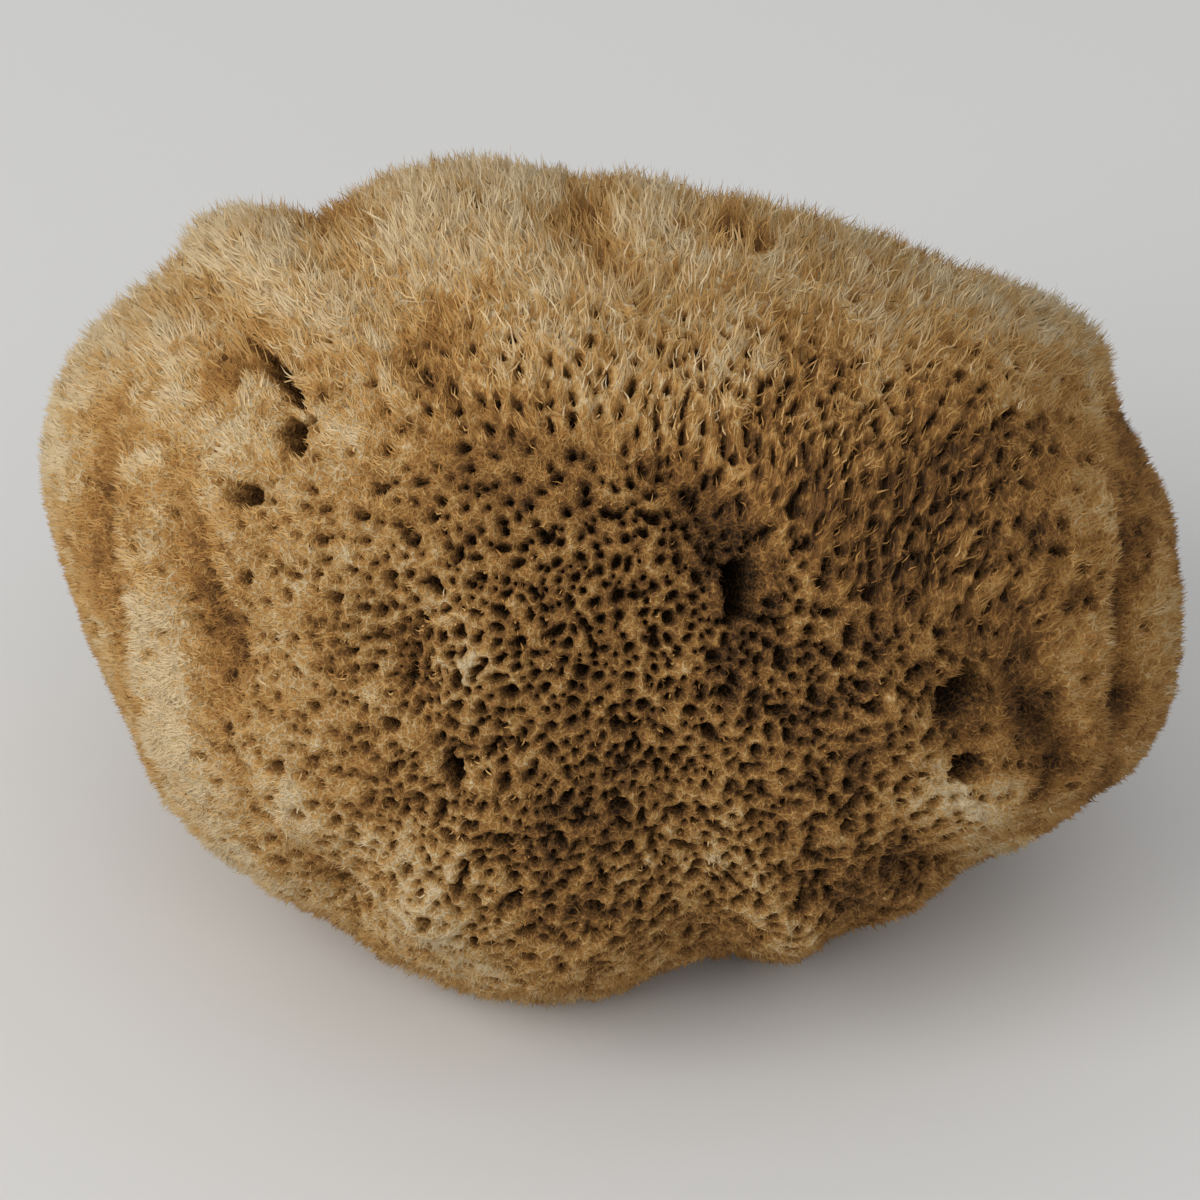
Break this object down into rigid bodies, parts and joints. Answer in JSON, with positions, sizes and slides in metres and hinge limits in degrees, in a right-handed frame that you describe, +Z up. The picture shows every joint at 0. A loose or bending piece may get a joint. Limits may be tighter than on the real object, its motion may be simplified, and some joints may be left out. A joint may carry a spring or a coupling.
{
  "type": "natural sea sponge",
  "caption": "Natural sea sponge: a lumpy, fuzzy, porous bath sponge of one piece, cut flat underneath so that it rests on a shelf or the edge of a bath.",
  "frame": {"origin": "under the middle of the sponge's box, on the flat base it rests on", "axes": "+X to the right along the sponge's length, -Y towards the porous front, +Z up"},
  "size_m": [0.1408, 0.1074, 0.0961],
  "materials": {
    "sponge_fibre": "matte"
  },
  "bodies": {
    "root": {"sponge": "sponge_fibre"}
  },
  "joints": []
}
